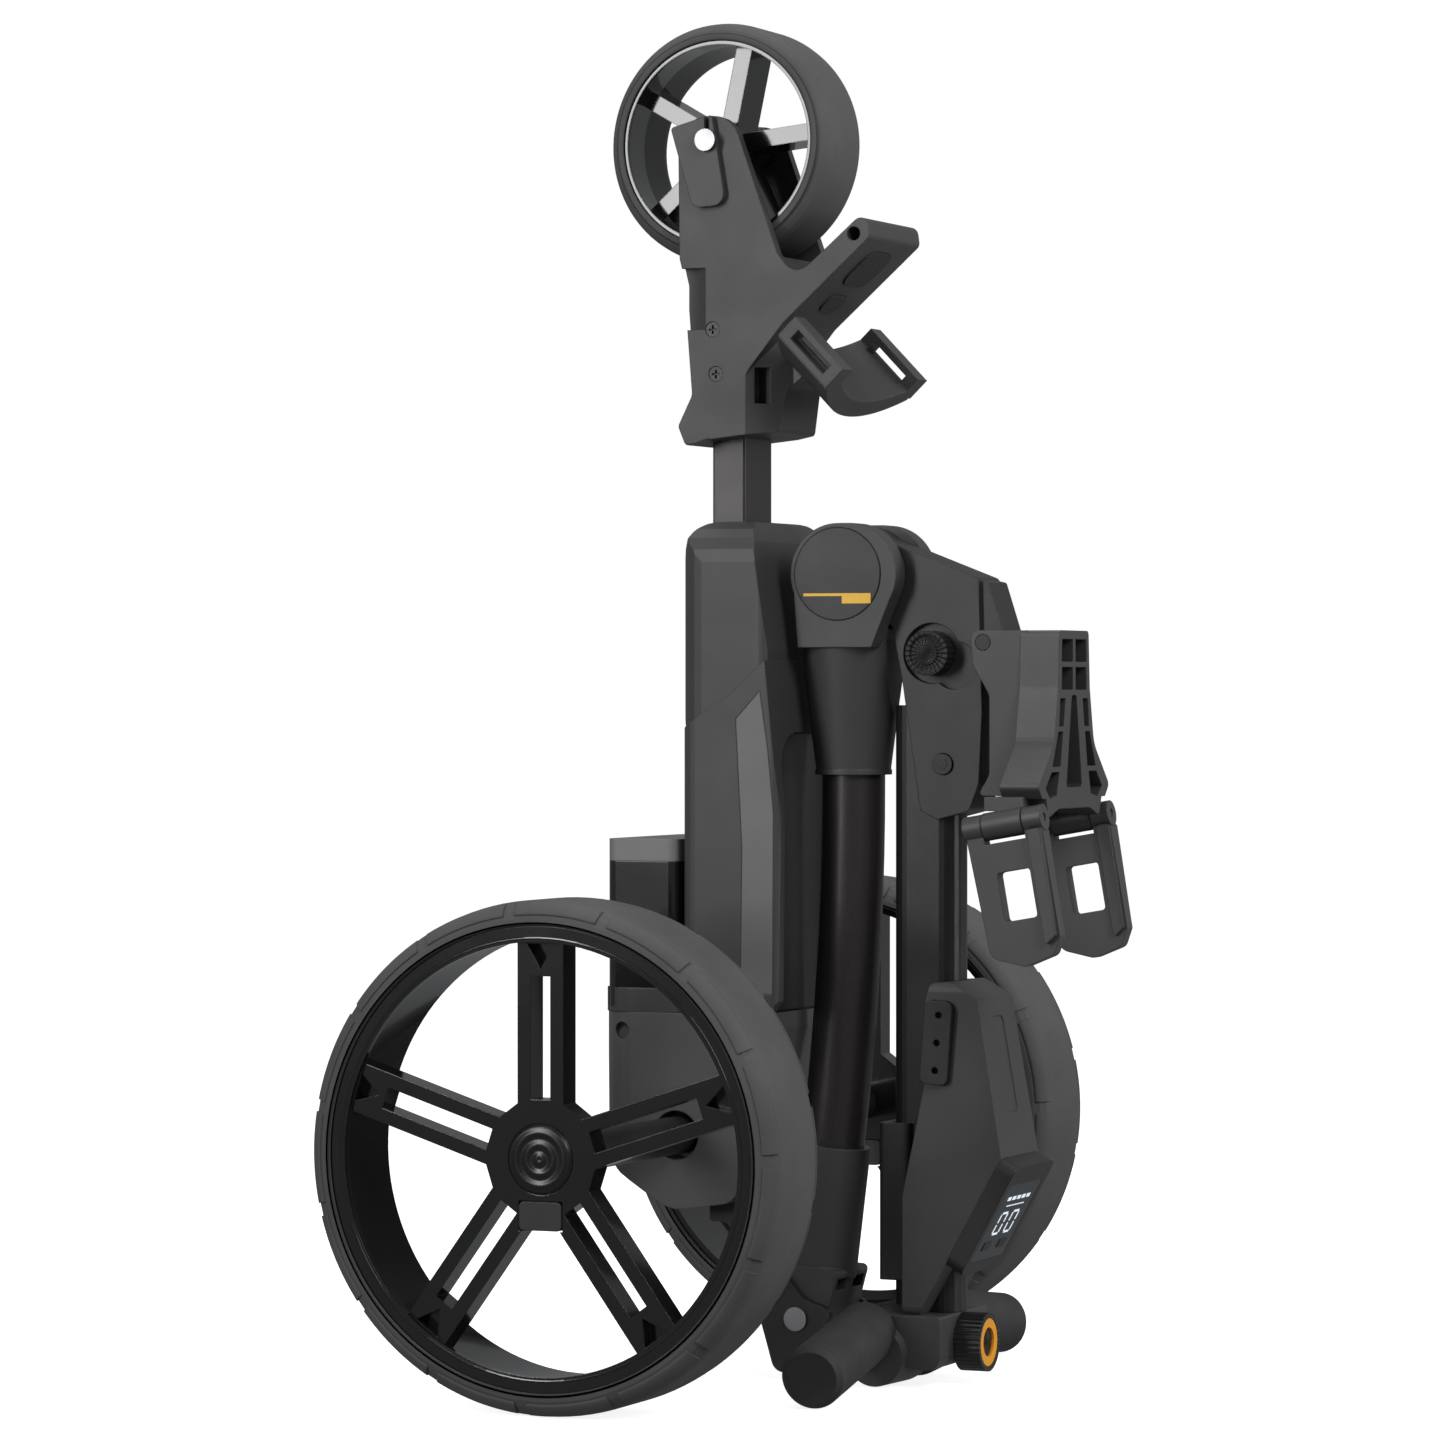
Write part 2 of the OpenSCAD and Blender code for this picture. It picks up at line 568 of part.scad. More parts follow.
module chassis() color("#565656") difference() {
    intersection() {
        along_x(-chassis_half, chassis_half) polygon(rounded([[chassis_front - 12, tray_z, 0],
            [chassis_back, tray_z, 0], [chassis_back, tray_z - 14, 10], [axle_y + 44, axle_z - 18, 20],
            [axle_y + 4, axle_z - 44, 24], [chassis_front + 4, axle_z - 38, 12],
            [chassis_front + 2, axle_z - 6, 10], [chassis_front - 12, tray_z - 10, 6]]));
        along_z(axle_z - 60, tray_z) polygon(rounded([[-chassis_half, chassis_front - 12, 8],
            [chassis_half, chassis_front - 12, 8], [chassis_half, chassis_back, 22],
            [-chassis_half, chassis_back, 22]]));
    }
    // bay of the gearbox and motor
    along_x(-case_w / 2 - 0.2, case_w / 2 + 0.2) {
        case_outline(0.2);
        translate([axle_y - case_r - 0.2, axle_z - 80]) square([2 * case_r + 0.4, 80]);
    }
    bar_x([motor_y, motor_z], motor_r + 0.3, 0, motor_end + 0.3);
    bar_x([axle_y, axle_z], axle_r + 8.2, -90, 90);
    both() along_x(plate_x, plate_x + plate_t) plate_outline();
    // round port in the side
    both() bar_x([chassis_back - 16, tray_z - 11], 5, chassis_half - 6, chassis_half + 1);
}

module battery_tray() color("#3c3c3c") difference() {
    along_z(tray_z, tray_z + 14) polygon(rounded([[-chassis_half, battery_y - 2, 2],
        [chassis_half, battery_y - 2, 2], [chassis_half, chassis_back, 20], [-chassis_half, chassis_back, 20]]));
    along_z(tray_z + 3, tray_z + 15) translate([0, battery_y]) polygon(rbox(
        [-battery_w / 2 - 0.3, -0.3], [battery_w / 2 + 0.3, battery_l + 0.3], 6));
}

battery_z = tray_z + 3;
top_strip = 13;
module battery_plan() translate([0, battery_y]) polygon(rbox([-battery_w / 2, 0], [battery_w / 2, battery_l], 6));
module battery_case() color("#0d0d0d") along_z(battery_z, battery_z + battery_h - top_strip) battery_plan();
module battery_top() color("#77787a")
    along_z(battery_z + battery_h - top_strip, battery_z + battery_h) battery_plan();

// ---- frame pivot ----
plate_x = upper_d / 2 + 6;
plate_t = 5;

module plate_outline() polygon(rounded([[pivot_y - 22, pivot_z + 6, 4], [pivot_y - 16, pivot_z - 14, 6],
    [pivot_y + 4, 4, 6], [pivot_y + 14, 5, 8], [pivot_y + 26, pivot_z + 10, 8],
    [chassis_front + 22, axle_z - 52, 8], [chassis_front + 34, axle_z - 52, 2],
    [chassis_front + 34, axle_z - 8, 2], [chassis_front + 6, axle_z - 8, 2],
    [pivot_y + 8, pivot_z + 26, 8], [pivot_y - 4, pivot_z + 12, 8]]));
module hinge_plates() color("#1d1d1d") both() difference() {
    along_x(plate_x, plate_x + plate_t) plate_outline();
    bar_x([axle_y, axle_z], case_r + snug, 0, 60);
    bar_x([pivot_y, pivot_z], pin_r + snug, 0, 60);
}
module pivot_pin() color("#b4b6b8") {
    bar_x([pivot_y, pivot_z], pin_r, -plate_x - plate_t, plate_x + plate_t);
    both() bar_x([pivot_y, pivot_z], pin_r + 2, plate_x + plate_t, plate_x + plate_t + 2);
}

// ---- upper frame ----
sleeve_top = fold_z - head_r - 5;
sleeve_h = 82;
sleeve_bot = sleeve_top - sleeve_h;
bend_z = sleeve_bot - 5;
lower_bend_z = 140;
bend_r = (bend_z - lower_bend_z) / sin(upper_bend);
lower_y = upper_y + bend_r * (1 - cos(upper_bend));
lower_l = 76;
cheek_in = stem_w / 2 + 4;
arm_half = cheek_in - gap;
head_shift = 7;

// frame at the lower end of the bent tube: +z down along the tube
module lower_frame() translate([0, lower_y, lower_bend_z]) rotate([180 + upper_bend, 0, 0]) children();

module upper_tube() color("#2f2b2b") {
    translate([0, upper_y, bend_z]) difference() {
        cylinder(r = upper_d / 2, h = sleeve_h - 14);
        translate([0, 0, -1]) cylinder(r = upper_d / 2 - 2, h = sleeve_h);
    }
    translate([0, upper_y + bend_r, bend_z]) rotate([90, 0, 90]) rotate([0, 0, 180])
        rotate_extrude(angle = upper_bend, $fn = 64) translate([bend_r, 0]) difference() {
            circle(r = upper_d / 2);
            circle(r = upper_d / 2 - 2);
        }
    lower_frame() difference() {
        cylinder(r = upper_d / 2, h = lower_l - 6);
        translate([0, 0, -1]) cylinder(r = upper_d / 2 - 2, h = lower_l);
    }
}

knuckle_half = plate_x - gap;
module pivot_knuckle() color("#404040") difference() {
    union() {
        lower_frame() translate([0, 0, 4]) cylinder(r = upper_d / 2 + 4, h = lower_l);
        along_x(-knuckle_half, knuckle_half) polygon(rounded([[pivot_y - 24, pivot_z + 28, 3],
            [pivot_y - 13, pivot_z - 12, 10], [pivot_y + 12, pivot_z - 12, 10],
            [pivot_y + 20, pivot_z + 32, 3]]));
    }
    lower_frame() translate([0, 0, -1]) cylinder(r = upper_d / 2 + snug, h = lower_l - 4);
    bar_x([pivot_y, pivot_z], pin_r + run_fit, -60, 60);
    // open web between the ribs
    both() translate([5, pivot_y - 40, pivot_z + 16]) cube([knuckle_half - 9, 30, 7]);
}

module fold_head() color("#424242") difference() {
    union() {
        for (s = [0, -head_shift]) bar_x([fold_y + s, fold_z], head_r, -head_w / 2, head_w / 2);
        translate([-head_w / 2, fold_y - head_shift, fold_z - head_r]) cube([head_w, head_shift, 2 * head_r]);
        intersection() {
            translate([0, upper_y, sleeve_bot]) cylinder(r1 = upper_d / 2 + 3, r2 = head_w / 2, h = sleeve_h);
            translate([-60, upper_y - 26, sleeve_bot - 1]) cube([120, 51, 200]);
        }
        translate([0, upper_y, sleeve_bot]) cylinder(r = upper_d / 2 + 4, h = 3);
        along_x(-head_w / 2, head_w / 2) polygon([[fold_y + head_r - 2, fold_z - 10],
            [upper_y + 22, sleeve_top - 8], [upper_y - 24, sleeve_top - 8],
            [fold_y - head_shift - head_r + 2, fold_z - 10]]);
    }
    // bore of the frame tube
    translate([0, upper_y, sleeve_bot - 1]) cylinder(r = upper_d / 2 + snug, h = sleeve_h - 17);
    // slot that the handle casing swings in
    bar_x([fold_y, fold_z], head_r + 6, -cheek_in, cheek_in);
    translate([-cheek_in, fold_y - 80, fold_z - head_r - 2]) cube([2 * cheek_in, 80, 120]);
    translate([-cheek_in, fold_y, fold_z]) cube([2 * cheek_in, 60, 80]);
    // seats of the badge discs
    both() bar_x([fold_y, fold_z], head_r - 2.5, head_w / 2 - 2, head_w / 2 + 1);
    bar_x([fold_y, fold_z], pin_r + snug, -60, 60);
}

module badge_discs() color("#333333") both()
    bar_x([fold_y, fold_z], head_r - 2.7, head_w / 2 - 2, head_w / 2 + 0.6);
module fold_pin() color("#b4b6b8") bar_x([fold_y, fold_z], pin_r, -head_w / 2 + 2.2, head_w / 2 - 2.2);

// ---- handle casing ----
casing_half = arm_half;
casing_back = stem_y - stem_d / 2 - 16;
casing_bot = fold_z - 142;
knob_y = stem_y - 7;
knob_z = fold_z - 46;
bolt_spot = [stem_y - 14, fold_z - 110];
lug_spot = [casing_back - 5, fold_z - 40];

module casing_side() {
    translate([fold_y, fold_z]) circle(r = head_r - 1);
    polygon(rounded([[fold_y, fold_z + head_r - 1, 0], [fold_y - 30, fold_z + 17, 6],
        [casing_back, fold_z - 3, 4], [casing_back - 2, fold_z - 80, 10], [casing_back, fold_z - 121, 8],
        [casing_back + 6, casing_bot + 5, 5], [stem_y - 10, casing_bot, 2], [stem_y, casing_bot + 5, 2],
        [fold_y - 34, fold_z - 58, 8], [fold_y - 28, fold_z - head_r + 1, 4],
        [fold_y, fold_z - head_r + 1, 0]]));
}
module handle_casing() color("#2f2f2f") difference() {
    union() {
        along_x(-casing_half, casing_half) casing_side();
        // lug that carries the bag bracket
        along_x(-casing_half + 3, casing_half - 3) polygon(rounded([[casing_back + 4, fold_z - 3, 0],
            [casing_back - 5, fold_z - 5, 2], [casing_back - 14, fold_z - 33, 3],
            [casing_back - 12, fold_z - 50, 3], [casing_back + 2, fold_z - 56, 0]]));
    }
    bar_x([fold_y, fold_z], pin_r + run_fit, -60, 60);
    // socket of the stem
    translate([-stem_w / 2, stem_y - stem_d / 2, casing_bot - 5]) cube([stem_w, stem_d, 72]);
    // lobed recess round the lock knob
    both() bar_x([knob_y, knob_z], knob_d / 2 + 0.5, casing_half - 4, casing_half + 1);
    both() bar_x([knob_y - 14, knob_z - 7], 14, casing_half - 4, casing_half + 1);
    bar_x([knob_y, knob_z], 4, -60, 60);
    both() bar_x(bolt_spot, 6.2, casing_half - 2, casing_half + 1);
    bar_x(bolt_spot, 3 + snug, -60, 60);
    bar_x(lug_spot, 2.5 + snug, -60, 60);
}
module lock_knob() color("#262626") mirror([1, 0, 0]) difference() {
    union() {
        bar_x([knob_y, knob_z], 13, casing_half - 4, casing_half + 9);
        bar_x([knob_y, knob_z], 4 - run_fit, -casing_half + 6, casing_half - 4);
    }
    translate([casing_half + 7.5, knob_y, knob_z]) rotate([0, 90, 0]) difference() {
        cylinder(r = 10.5, h = 3);
        cylinder(r = 6.5, h = 3);
    }
}
module casing_bolts() color("#171717") {
    both() bar_x(bolt_spot, 6, casing_half - 2, casing_half + 1.5);
    bar_x(bolt_spot, 3, -casing_half + 2, casing_half - 2);
    both() bar_x(lug_spot, 4.5, leaf_out - 2, leaf_out);
    bar_x(lug_spot, 2.5, -leaf_out + 2, leaf_out - 2);
}

// ---- bag bracket ----
leaf_out = casing_half + 6.5;
leaf_in = casing_half + 0.5;
bracket_top = fold_z - 33;
arm_z = fold_z - 143;
// reach of a bag arm's foremost corner past the middle of its hinge
arm_fore = (arm_w / 2 - 0.5) * cos(arm_tilt) + (arm_h - 14) * sin(arm_tilt);
arm_y = axle_y - front_reach + arm_fore;
face_y = arm_y - 21;
foot_z = arm_z + 12;
pocket_d = 18;

// hinge frame of a bag arm: +y along the hinge, z = 0 on its axis
module arm_frame(s) translate([s * arm_x, arm_y, arm_z]) rotate([-arm_tilt, 0, 0]) children();
module rib_face() polygon(rounded([[-leaf_out, bracket_top, 3], [-leaf_out - 2, fold_z - 66, 20],
    [-leaf_out - 9, fold_z - 98, 20], [-arm_x - 3, foot_z + 9, 3], [-arm_x + 4, foot_z + 2, 2],
    [-arm_x + 10, foot_z + 2, 1], [-arm_x + 14, foot_z - 9, 3], [-26, foot_z - 4, 20],
    [26, foot_z - 4, 20], [arm_x - 14, foot_z - 9, 3], [arm_x - 10, foot_z + 2, 1],
    [arm_x - 4, foot_z + 2, 2], [arm_x + 3, foot_z + 9, 3], [leaf_out + 9, fold_z - 98, 20],
    [leaf_out + 2, fold_z - 66, 20], [leaf_out, bracket_top, 3]]));
// pockets between the ribs of one half
module rib_pockets() {
    for (i = [0:1]) polygon([[2, bracket_top - 5 - 16 * i], [leaf_out - 4, bracket_top - 5 - 16 * i],
        [leaf_out - 3, bracket_top - 18 - 16 * i], [2, bracket_top - 18 - 16 * i]]);
    polygon([[14, fold_z - 72], [leaf_out - 1, fold_z - 72], [leaf_out + 1, fold_z - 88], [17, fold_z - 88]]);
    polygon([[18, fold_z - 91], [leaf_out + 2, fold_z - 91], [leaf_out + 12, fold_z - 111], [22, fold_z - 111]]);
    polygon([[24, fold_z - 114], [leaf_out + 13, fold_z - 114], [arm_x - 9, foot_z + 8],
        [arm_x - 16, foot_z + 2], [28, foot_z + 4]]);
}

module bag_bracket() color("#474747") difference() {
    union() {
        difference() {
            along_y(face_y, face_y + 24) rib_face();
            along_y(face_y - 1, face_y + pocket_d) both() rib_pockets();
            along_y(face_y - 1, face_y + pocket_d) polygon(rounded([[-13, foot_z + 8, 2], [13, foot_z + 8, 2],
                [4, fold_z - 70, 3], [-4, fold_z - 70, 3]]));
        }
        both() along_x(leaf_in, leaf_out) polygon(rounded([[face_y + 20, bracket_top, 0],
            [casing_back + 3, bracket_top, 5], [casing_back + 1, bracket_top - 20, 4],
            [casing_back - 9, fold_z - 70, 8], [casing_back - 9, fold_z - 116, 8],
            [casing_back - 2, foot_z + 3, 2], [face_y + 20, foot_z + 3, 0]]));
        for (s = [-1, 1]) arm_frame(s) rotate([90, 0, 0]) cylinder(r = 8, h = 24, center = true);
        for (s = [-1, 1]) translate([s > 0 ? leaf_in : -arm_x, arm_y - 11, foot_z - 5])
            cube([arm_x - leaf_in, 24, 8]);
    }
    for (s = [-1, 1]) arm_frame(s) rotate([90, 0, 0]) cylinder(r = 2.5 + snug, h = 80, center = true);
    bar_x(lug_spot, 2.5 + snug, -60, 60);
    both() bar_x(lug_spot, 4.7, leaf_out - 2, 60);
}

module arm_pins() color("#9d9fa2") for (s = [-1, 1]) arm_frame(s) rotate([90, 0, 0])
    cylinder(r = 2.5, h = arm_w - 2, center = true);

module bag_arm(s) color("#474747") arm_frame(s) mirror([s > 0 ? 1 : 0, 0, 0]) difference() {
    union() {
        along_x(-5, 4) polygon(rounded([[arm_w / 2 - 1, -3.5, 0], [arm_w / 2 - 4, -arm_h + 8, 8],
            [0, -arm_h, 6], [-arm_w / 2 + 6, -arm_h + 4, 5], [-arm_w / 2 + 0.5, -arm_h + 14, 4],
            [-arm_w / 2 + 0.5, -3.5, 0]]));
        along_x(-9, 6.5) polygon(rounded([[-arm_w / 2 + 9, -6, 2], [-arm_w / 2 + 9, -arm_h + 10, 1],
            [-arm_w / 2 + 2, -arm_h + 15, 1], [-arm_w / 2 + 1, -6, 2]]));
        rotate([90, 0, 0]) cylinder(r = 7.5, h = arm_w, center = true);
    }
    // window
    along_x(-20, 20) polygon(rbox([-12, -arm_h + 27], [8, -arm_h + 55], 2));
    // room for the bracket's barrel and foot
    translate([-20, -12.5, -10]) cube([40, 25, 40]);
    rotate([90, 0, 0]) cylinder(r = 2.5 + run_fit, h = 80, center = true);
}
module bag_arm_left() bag_arm(-1);
module bag_arm_right() bag_arm(1);

// ---- stem, control housing and grips ----
con_half = console_w / 2;
grip_r = grip_d / 2;
grip_in = 42;
grip_rise = 14;
grip_y = stem_y + 13;
grip_sweep = 11;
grip_l = norm([grip_reach - grip_in, grip_sweep, grip_rise]);
grip_lean = asin(grip_rise / grip_l);
grip_turn = atan2(grip_sweep, grip_reach - grip_in);
grip_z = grip_r * cos(grip_lean);
stem_bot = 42;

module handle_stem() color("#262424") difference() {
    along_z(stem_bot, casing_bot + 66) translate([0, stem_y])
        polygon(rbox([-stem_w / 2, -stem_d / 2], [stem_w / 2, stem_d / 2], 10));
    along_z(stem_bot - 1, casing_bot + 67) translate([0, stem_y]) polygon(
        rbox([-stem_w / 2 + 2, -stem_d / 2 + 2], [stem_w / 2 - 2, stem_d / 2 - 2], 8));
    bar_x(bolt_spot, 3 + snug, -60, 60);
}

// control housing outline, from the back round to the display and up the front
console_back = stem_y + 6;
module console_side() polygon(rounded([[console_back, 42, 3], [console_back, 110, 20],
    [console_back - 13, 174, 6], [console_back - 13, 222, 3], [console_back - 16, 233, 3],
    [console_back - 29, 234, 5], [console_back - 45, 224, 4], [console_back - 56, 161, 20],
    [console_back - 62, 126, 3], [console_back - 34, 60, 3], [console_back - 26, 42, 3]]));
module control_housing() color("#3f3f3f") difference() {
    intersection() {
        along_x(-con_half, con_half) console_side();
        along_y(-300, 100) polygon(rounded([[-con_half, 40, 6], [con_half, 40, 6], [con_half, 100, 8],
            [con_half - 3, 236, 8], [-con_half + 3, 236, 8], [-con_half, 100, 8]]));
    }
    translate([-stem_w / 2 - 0.1, stem_y - stem_d / 2 - 0.1, 0]) cube([stem_w + 0.2, 60, 300]);
    // shallow recess in the front face
    translate([0, console_back - 52, 186]) rotate([-10, 0, 0]) along_y(-3, 1)
        polygon(rbox([-9, -28], [9, 28], 4));
    both() rail_shape(0.1);
    // seat of the display
    display_frame() translate([-60, -70, -display_t]) cube([120, 140, 60]);
}

module rail_shape(grow) along_x(con_half - 5 - grow, con_half + 2 + grow)
    translate([console_back - 22, 199]) rotate(4) polygon(rbox([-8 - grow, -24 - grow], [9 + grow, 24 + grow], 4));
module accessory_rails() color("#3a3a3a") both() difference() {
    rail_shape(0);
    for (k = [-1:1]) translate([0, console_back - 22, 199]) rotate([4, 0, 0])
        bar_x([0, 16 * k], 2, con_half - 3, con_half + 3);
}

// frame on the display's slanted face: +z out of the face, +y up the face
display_l = 72;
display_t = 11;
display_lean = 29;
module display_frame() translate([0, console_back - 53.5, 97]) rotate([90 + display_lean, 0, 0]) children();
module display_housing() color("#353535") display_frame() difference() {
    along_z(-display_t, 0) polygon(rbox([-con_half - 1, -display_l / 2], [con_half + 1, display_l / 2], 6));
    along_z(-1.5, 1) polygon(rbox([-con_half + 5, -display_l / 2 + 8], [con_half - 5, display_l / 2 - 12], 4));
}
module display_glass() color("#101418") display_frame()
    along_z(-1.5, -0.1) polygon(rbox([-con_half + 5.1, -display_l / 2 + 8.1], [con_half - 5.1, display_l / 2 - 12.1], 4));

module stem_collar() color("#1f1f1f") difference() {
    along_z(60, 151) polygon(rbox([-stem_w / 2 - 5, console_back + 0.2], [stem_w / 2 + 5, stem_y + stem_d / 2 + 6], 4));
    translate([-stem_w / 2, stem_y - stem_d / 2, 0]) cube([stem_w, stem_d, 300]);
}

// frame at a grip's inner end: +z along the grip to its free end
module grip_frame() translate([grip_reach, grip_y, grip_z]) rotate([0, 0, -grip_turn])
    rotate([0, 90 + grip_lean, 0]) translate([0, 0, -grip_l]) children();
core_r = 9;
module t_bar() color("#3a3a3a") difference() {
    union() {
        both() grip_frame() translate([0, 0, -30]) cylinder(r = core_r, h = grip_l + 26);
        along_x(-grip_in + 4, grip_in - 4) polygon(rounded([[grip_y + 6, 14, 8], [grip_y + 6, 46, 12],
            [grip_y - 9, 54, 4], [console_back - 26, 41.8, 3], [stem_y - 20, 10, 8]]));
    }
    translate([-60, -200, 41.8]) cube([120, 400, 60]);
    translate([-stem_w / 2, stem_y - stem_d / 2, stem_bot]) cube([stem_w, stem_d, 60]);
}
module grips() color("#3b3b3b") both() grip_frame() difference() {
    union() {
        cylinder(r = grip_r, h = grip_l - 4);
        translate([0, 0, grip_l - 4]) cylinder(r1 = grip_r, r2 = grip_r - 3, h = 4);
    }
    translate([0, 0, -1]) cylinder(r = core_r + snug, h = grip_l - 3);
}

knob_face = stem_y - stem_d / 2;
speed_z = 24.5;
module speed_knob() color("#191919") translate([0, knob_face, speed_z]) rotate([90, 0, 0]) difference() {
    cylinder(r = knob_d / 2, h = 16);
    translate([0, 0, 14]) cylinder(r = 14, h = 3);
}
module knob_ring() color("#f5a623") translate([0, knob_face, speed_z]) rotate([90, 0, 0])
    translate([0, 0, 14]) difference() {
        cylinder(r = 13.9, h = 1.6);
        translate([0, 0, -1]) cylinder(r = 8.5, h = 4);
    }

drive_axle();
final_gear();
axle_bearings();
gearbox_left();
gearbox_right();
motor_can();
motor_pinion();
axle_tubes();
wheel_rim_left();
wheel_tyre_left();
wheel_hub_left();
hub_cap_left();
wheel_release_left();
wheel_rim_right();
wheel_tyre_right();
wheel_hub_right();
hub_cap_right();
wheel_release_right();
front_bracket();
fork_covers();
bracket_screws();
bag_rest_pads();
lower_cradle();
front_axle();
front_rim();
front_tyre();
frame_tube();
housing_cap();
housing_shell();
side_trims();
front_panel();
controller();
chassis();
battery_tray();
battery_case();
battery_top();
hinge_plates();
pivot_pin();
upper_tube();
pivot_knuckle();
fold_head();
badge_discs();
fold_pin();
handle_casing();
lock_knob();
casing_bolts();
handle_stem();
bag_bracket();
arm_pins();
bag_arm_left();
bag_arm_right();
control_housing();
accessory_rails();
display_housing();
display_glass();
stem_collar();
t_bar();
grips();
speed_knob();
knob_ring();
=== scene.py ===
"""Electric golf trolley, folded: finishes, small moulded details, floor, light and camera."""
import math

import bmesh
import bpy
from mathutils import Matrix, Vector


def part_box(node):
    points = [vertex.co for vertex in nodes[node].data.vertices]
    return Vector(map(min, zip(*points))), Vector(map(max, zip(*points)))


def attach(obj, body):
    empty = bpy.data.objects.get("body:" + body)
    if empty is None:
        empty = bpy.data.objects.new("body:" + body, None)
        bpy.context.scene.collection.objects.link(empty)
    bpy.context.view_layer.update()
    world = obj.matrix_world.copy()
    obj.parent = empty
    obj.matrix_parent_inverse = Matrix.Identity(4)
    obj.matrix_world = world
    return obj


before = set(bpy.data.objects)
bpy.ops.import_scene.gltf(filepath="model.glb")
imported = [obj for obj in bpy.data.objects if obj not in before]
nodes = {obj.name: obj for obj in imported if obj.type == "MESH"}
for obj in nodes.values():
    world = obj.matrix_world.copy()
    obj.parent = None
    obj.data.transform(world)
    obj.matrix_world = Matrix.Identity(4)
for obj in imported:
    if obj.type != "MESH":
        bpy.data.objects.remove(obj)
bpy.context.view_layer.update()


# ---- shader maths ----
class Sock:
    """A socket of a material's tree. Arithmetic on it adds Math nodes."""

    def __init__(self, finish, socket):
        self.finish, self.socket = finish, socket

    def maths(self, operation, a, b=0.0):
        return self.finish.node("ShaderNodeMath", {"operation": operation}, {0: a, 1: b})

    def __add__(self, other):
        return self.maths("ADD", self, other)

    def __mul__(self, other):
        return self.maths("MULTIPLY", self, other)

    def __sub__(self, other):
        return self.maths("SUBTRACT", self, other)

    def __rsub__(self, other):
        return self.maths("SUBTRACT", other, self)

    def __gt__(self, other):
        return self.maths("GREATER_THAN", self, other)

    def __lt__(self, other):
        return self.maths("LESS_THAN", self, other)

    def __mod__(self, other):
        return self.maths("FLOORED_MODULO", self, other)

    def size(self):
        return self.maths("ABSOLUTE", self)

    def wave(self):
        return self.maths("SINE", self)

    def root(self):
        return self.maths("SQRT", self)

    def angle(self, other):
        return self.maths("ARCTAN2", self, other)

    __radd__ = __add__
    __rmul__ = __mul__


class Finish:
    """A material of one Principled surface, with its nodes made by node()."""

    def __init__(self, name, **surface):
        self.material = bpy.data.materials.new(name)
        self.material.use_nodes = True
        self.tree = self.material.node_tree
        self.tree.nodes.clear()
        self.shader = self.tree.nodes.new("ShaderNodeBsdfPrincipled")
        out = self.tree.nodes.new("ShaderNodeOutputMaterial")
        self.tree.links.new(self.shader.outputs[0], out.inputs[0])
        for name, value in surface.items():
            self.set(name.replace("_", " "), value)

    def put(self, socket, value):
        if isinstance(value, Sock):
            self.tree.links.new(value.socket, socket)
        elif hasattr(socket.default_value, "__len__") and len(value) < len(socket.default_value):
            socket.default_value = (*value, 1.0)
        else:
            socket.default_value = value

    def set(self, name, value):
        self.put(self.shader.inputs[name], value)

    def node(self, kind, settings=None, values=None, out=0):
        made = self.tree.nodes.new(kind)
        for key, value in (settings or {}).items():
            if key == "stops":
                ramp = made.color_ramp
                while len(ramp.elements) < len(value):
                    ramp.elements.new(1.0)
                for element, (place, shade) in zip(ramp.elements, value):
                    element.position, element.color = place, (*shade, 1.0)
            else:
                setattr(made, key, value)
        for key, value in (values or {}).items():
            self.put(made.inputs[key], value)
        return Sock(self, made.outputs[out])

    def place(self):
        return self.node("ShaderNodeTexCoord", out=3)

    def axis(self, name):
        return self.node("ShaderNodeSeparateXYZ", {}, {0: self.place()}, out="XYZ".index(name))

    def noise(self, scale, detail=2.0, vector=None, rough=0.5):
        return self.node("ShaderNodeTexNoise", {}, {
            "Vector": vector or self.place(), "Scale": scale, "Detail": detail, "Roughness": rough})

    def spread(self, value, low, high):
        """A value from 0 to 1 carried to low and high."""
        return value * (high - low) + low

    def shades(self, value, *colours):
        last = len(colours) - 1
        return self.node("ShaderNodeValToRGB", {"stops": [(0.3 + 0.4 * i / last, c) for i, c in enumerate(colours)]},
                         {"Fac": value})

    def mix(self, factor, a, b):
        return self.node("ShaderNodeMix", {"data_type": "RGBA"}, {0: factor, 6: a, 7: b}, out=2)

    def relief(self, height, depth, edge=0.0, strength=1.0):
        """Bumps of a height from 0 to 1 and a depth in metres, on edges eased by a radius in metres."""
        values = {"Height": height, "Distance": depth, "Strength": strength}
        if edge:
            values["Normal"] = self.eased(edge)
        self.set("Normal", self.node("ShaderNodeBump", {}, values))

    def eased(self, edge):
        return self.node("ShaderNodeBevel", {"samples": 6}, {"Radius": edge})


def scaled(colour, factor):
    return tuple(c * factor for c in colour)


def moulded(name, colour, rough=0.46, edge=0.0009, grain=0.00003, grain_scale=1500.0):
    """Spark-grained polypropylene or nylon: fine pits, faint mottling and slightly polished patches."""
    f = Finish(name)
    cloud = f.noise(14.0, 3.0)
    f.set("Base Color", f.shades(cloud, scaled(colour, 0.90), colour, scaled(colour, 1.10)))
    f.set("Roughness", f.spread(f.noise(38.0, 4.0), rough - 0.07, rough + 0.07))
    f.set("Specular IOR Level", 0.5)
    pits = f.noise(grain_scale, 2.0)
    f.relief(pits, grain, edge)
    return f.material


def gloss(name, colour, rough=0.13, edge=0.0008):
    """Polished black moulding with a slight orange-peel ripple and fine hairline wear."""
    f = Finish(name, Coat_Weight=0.5, Coat_Roughness=0.06)
    f.set("Base Color", f.shades(f.noise(9.0, 2.0), scaled(colour, 0.85), scaled(colour, 1.2)))
    f.set("Roughness", f.spread(f.noise(30.0, 3.0), rough * 0.8, rough * 1.3))
    f.relief(f.noise(60.0, 1.0), 0.000012, edge)
    return f.material


